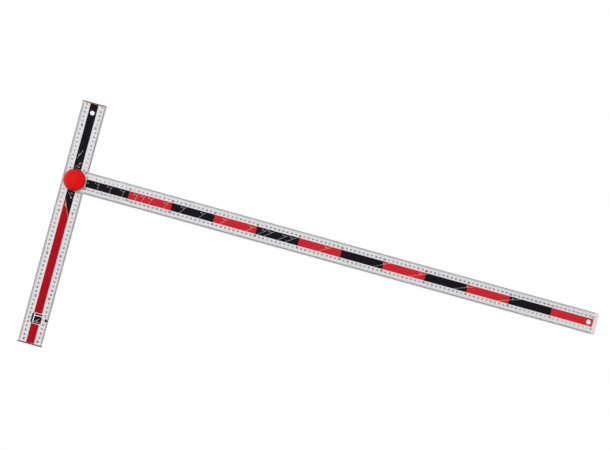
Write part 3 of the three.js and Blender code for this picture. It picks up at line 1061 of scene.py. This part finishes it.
class PrintHeadMarks(bpy.types.Operator):
    """Print the lines that the blade's edge meets when it is swung, and the fence arrow"""

    bl_idname = "t_square.head_marks"
    bl_label = "Head Marks"
    half_swing = 45
    steep_swing = 67.5
    line_start = -7.4 * MM
    half_line_end = 7.8 * MM  # across the head
    steep_line_end = {1: 2.4 * MM, -1: 7.8 * MM}  # above and below the pivot
    outer_label = Vector((2.4 * MM, 40.5 * MM))
    inner_label = Vector((2.2 * MM, 30.2 * MM))
    steep_label = Vector((-4.4 * MM, 59.0 * MM))
    label_height = 2.4 * MM
    label_weight = 0.03 * MM
    arrow_base = 19.0 * MM
    arrow_tip = 27.3 * MM
    arrow_half = 4.6 * MM
    arrow_shift = 1.1 * MM  # up the head, as the numbers beside it are
    connector = (12.8 * MM, 17.4 * MM)
    connector_width = 1.3 * MM
    index_place = 22.4 * MM
    index_half = 2.6 * MM
    index_low = 19.6 * MM
    edge_gap = 0.2 * MM

    def execute(self, context):
        self.sizes = context.scene.t_square_print
        self.swing_marks()
        self.arrow()
        self.index_mark()
        return {"FINISHED"}

    def swing_marks(self):
        levels = film_levels(HEAD_HIGH.z, layer=1)
        bm = bmesh.new()
        for side in (1, -1):
            for swing, end in (
                (self.half_swing, self.half_line_end),
                (self.steep_swing, self.steep_line_end[side]),
            ):
                first, last = (
                    (x, edge_line(side * swing, x)) for x in (self.line_start, end))
                stroke(bm, first, last, self.sizes.fine_line, levels)
            for words, place, swing in (
                ("45", self.outer_label, self.half_swing),
                ("135", self.inner_label, self.half_swing),
                ("67.5", self.steep_label, self.steep_swing),
            ):
                label = lettering(words, self.label_height, self.label_weight, levels)
                stamp(bm, label, place_at(place.x, side * place.y, side * swing))
        add_piece("head_swing_marks", bm, "head", "white_print")

    def arrow(self):
        """A pencil arrow over the fence's bevel, level with the point of the angle lines."""
        bm = bmesh.new()
        add_outline(bm, [
            (-self.arrow_half, self.arrow_base), (self.arrow_half, self.arrow_base),
            (0, self.arrow_tip),
        ])
        levels = film_levels(HEAD_HIGH.z, layer=1)
        film(bm, *levels)
        drape(bm, HEAD_HIGH.x - HEAD_BEVEL.x, HEAD_BEVEL)
        y = self.arrow_shift - self.sizes.apex_distance
        bmesh.ops.transform(bm, matrix=place_at(0, y, -90), verts=bm.verts)
        add_piece("fence_arrow", bm, "head", "mark_print")
        line = bmesh.new()
        stroke(line, (self.connector[0], y), (self.connector[1], y), self.connector_width, levels)
        add_piece("fence_arrow_tail", line, "head", "black_print")

    def index_mark(self):
        """A small arrow on the blade's edge that points at the head's scale."""
        bm = bmesh.new()
        x, half = self.index_place, self.index_half
        add_outline(bm, [
            (x - half, self.index_low), (x + half, self.index_low),
            (x, BLADE_HIGH.y - self.edge_gap),
        ])
        film(bm, *film_levels(BLADE_HIGH.z))
        drape(bm, BLADE_HIGH.y - BLADE_BEVEL.x, BLADE_BEVEL)
        add_piece("blade_index_mark", bm, "blade", "mark_print")


class PrintUseSymbol(bpy.types.Operator):
    """Print the plain symbol beside the fence arrow: a square with an angle in it"""

    bl_idname = "t_square.use_symbol"
    bl_label = "Use Symbol"
    left, right = -12.0 * MM, 11.7 * MM  # of the black ground, across the head
    above, below = 11.3 * MM, 10.0 * MM  # of the fence arrow
    frame_left = -7.7 * MM
    frame_inner = -5.7 * MM
    bar_height = 7.2 * MM  # of the white bar, above the arrow
    bar_width = 1.7 * MM
    rule_gap = 1.6 * MM  # from the ground to the fine lines above and below it
    rule_width = 0.9 * MM
    rule_right = 10.2 * MM
    angle_foot = Vector((-3.4 * MM, -7.6 * MM))
    angle_run = 13.0 * MM
    angle_slope = 42.0
    angle_line = 0.5 * MM
    arc_radius = 7.0 * MM
    arc_steps = 8
    crossing_lift = 0.005 * MM  # of a line above the one that it crosses

    def execute(self, context):
        y = -context.scene.t_square_print.apex_distance
        ground = bmesh.new()
        bottom, top = y - self.below, y + self.above
        add_outline(ground, [
            (self.left, bottom), (self.right, bottom), (self.right, top), (self.left, top)])
        film(ground, *film_levels(HEAD_HIGH.z, layer=1))
        add_piece("use_symbol_ground", ground, "head", "black_print")
        levels = film_levels(HEAD_HIGH.z, layer=2)
        lines = bmesh.new()
        upright = (self.frame_left + self.frame_inner) / 2
        stroke(lines, (upright, bottom), (upright, top),
               self.frame_inner - self.frame_left, levels)
        bar = y + self.bar_height
        stroke(lines, (self.frame_inner, bar), (self.right, bar), self.bar_width, levels)
        for rule in (top + self.rule_gap, bottom - self.rule_gap):
            stroke(lines, (self.frame_left, rule), (self.rule_right, rule),
                   self.rule_width, film_levels(HEAD_HIGH.z, layer=1))
        self.angle(lines, Vector((self.angle_foot.x, y + self.angle_foot.y)), levels)
        add_piece("use_symbol_lines", lines, "head", "white_print")
        return {"FINISHED"}

    def angle(self, bm, foot, levels):
        """Two lines from one foot, with an arc between them."""
        def along(angle, radius):
            return foot + Matrix.Rotation(math.radians(angle), 2) @ Vector((radius, 0))

        lift = (0, self.crossing_lift)
        raised = [level + rise for level, rise in zip(levels, lift)]
        stroke(bm, foot, along(0, self.angle_run), self.angle_line, levels)
        stroke(bm, foot, along(self.angle_slope, self.angle_run), self.angle_line, raised)
        raised[1] += self.crossing_lift
        turns = [self.angle_slope * step / self.arc_steps for step in range(self.arc_steps + 1)]
        for start, end in zip(turns, turns[1:]):
            stroke(bm, along(start, self.arc_radius), along(end, self.arc_radius),
                   self.angle_line, raised)


class SetStage(bpy.types.Operator):
    """Set the floor, the light and the camera"""

    bl_idname = "t_square.stage"
    bl_label = "Floor, Light and Camera"
    floor_size = 80.0
    floor_drop = 0.1 * MM
    floor_colour = 0.97
    floor_white_share = 0.90
    picture_width = 610
    sensor_width = 36.0

    def execute(self, context):
        self.settings = context.scene.t_square_stage
        context.scene.view_settings.view_transform = "Standard"
        self.make_floor()
        self.make_world(context)
        self.make_lamp()
        self.make_camera(context)
        return {"FINISHED"}

    def white_to_eye(self, finish):
        """1 for rays that end at the eye, straight or by gloss or glass, else 0."""
        seen = [
            finish.node("ShaderNodeLightPath", output=name)
            for name in ("Is Camera Ray", "Is Glossy Ray", "Is Transmission Ray")
        ]
        return (seen[0] + seen[1] + seen[2]).clamped()

    def make_floor(self):
        bm = bmesh.new()
        bmesh.ops.create_grid(
            bm, x_segments=1, y_segments=1, size=self.floor_size / 2,
            matrix=Matrix.Translation((0, 0, HEAD_LOW.z - self.floor_drop)))
        floor = put_in_scene("floor", mesh_of("floor", bm))
        finish = Finish("floor_paper")
        level = self.floor_colour
        paper = finish.node("ShaderNodeBsdfDiffuse", None, {"Color": (level, level, level, 1)})
        white = finish.node("ShaderNodeEmission", None, {"Strength": 1.0})
        share = self.white_to_eye(finish) * self.floor_white_share
        mixed = finish.node("ShaderNodeMixShader", None, {0: share, 1: paper, 2: white})
        finish.node("ShaderNodeOutputMaterial", None, {"Surface": mixed})
        floor.data.materials.append(finish.owner)

    def make_world(self, context):
        world = bpy.data.worlds.new("studio")
        context.scene.world = world
        finish = Finish("studio", world)
        direction = finish.node("ShaderNodeTexCoord", output="Generated")
        height = finish.node("ShaderNodeSeparateXYZ", None, {0: direction}, output="Z")
        level = finish.blend(
            height.clamped(), opaque([self.settings.sky_side] * 3),
            opaque([self.settings.sky_top] * 3))
        sky = finish.node("ShaderNodeBackground", None, {"Color": level, "Strength": 1.0})
        finish.node("ShaderNodeOutputWorld", None, {"Surface": sky})

    def make_lamp(self):
        settings = self.settings
        lamp = bpy.data.lights.new("lamp", "SUN")
        lamp.angle = settings.lamp_size
        lamp.energy = settings.lamp_level * math.pi / math.sin(settings.lamp_height)
        towards = Vector((
            math.cos(settings.lamp_bearing) * math.cos(settings.lamp_height),
            math.sin(settings.lamp_bearing) * math.cos(settings.lamp_height),
            math.sin(settings.lamp_height),
        ))
        holder = put_in_scene("lamp", lamp)
        holder.rotation_euler = towards.to_track_quat("Z", "Y").to_euler()

    def make_camera(self, context):
        settings = self.settings
        eye = bpy.data.cameras.new("camera")
        eye.sensor_width = self.sensor_width
        focal_pixels = settings.pixels_per_metre * settings.distance
        eye.lens = self.sensor_width * focal_pixels / self.picture_width
        turn = (
            Matrix.Rotation(settings.lean_side, 4, "Y")
            @ Matrix.Rotation(settings.lean_back, 4, "X")
            @ Matrix.Rotation(settings.roll, 4, "Z")
        )
        back = turn @ Vector((0, 0, settings.distance))
        holder = put_in_scene("camera", eye)
        holder.matrix_world = Matrix.Translation(Vector(settings.aim) + back) @ turn
        context.scene.camera = holder


class TSquarePanel(bpy.types.Panel):
    """The steps that dress the T-square, in order, and their settings."""

    bl_idname = "VIEW3D_PT_t_square"
    bl_label = "T-Square"
    bl_space_type = "VIEW_3D"
    bl_region_type = "UI"
    bl_category = "T-Square"

    def draw(self, context):
        layout = self.layout
        for operator in OPERATORS:
            layout.operator(operator.bl_idname)
        for group in GROUPS:
            settings = getattr(context.scene, group)
            box = layout.box()
            box.label(text=settings.bl_rna.name)
            for name in settings.__annotations__:
                box.prop(settings, name)


OPERATORS = (
    FinishRails,
    FinishCaps,
    FinishHardware,
    MakeKnob,
    PrintBladeBands,
    PrintHeadBands,
    PrintBladeScale,
    PrintHeadScale,
    PrintAngleLines,
    PrintHeadMarks,
    PrintUseSymbol,
    SetStage,
)
GROUPS = {
    "t_square_colours": TSquareColours,
    "t_square_print": TSquarePrint,
    "t_square_knob": TSquareKnob,
    "t_square_stage": TSquareStage,
}
CLASSES = (*GROUPS.values(), *OPERATORS, TSquarePanel)


def register():
    for item in CLASSES:
        bpy.utils.register_class(item)
    for name, group in GROUPS.items():
        setattr(bpy.types.Scene, name, bpy.props.PointerProperty(type=group))


def unregister():
    for name in GROUPS:
        delattr(bpy.types.Scene, name)
    for item in reversed(CLASSES):
        bpy.utils.unregister_class(item)


def main():
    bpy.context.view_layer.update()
    register()
    for operator in OPERATORS:
        group, name = operator.bl_idname.split(".")
        getattr(getattr(bpy.ops, group), name)()


if __name__ == "__main__":
    main()
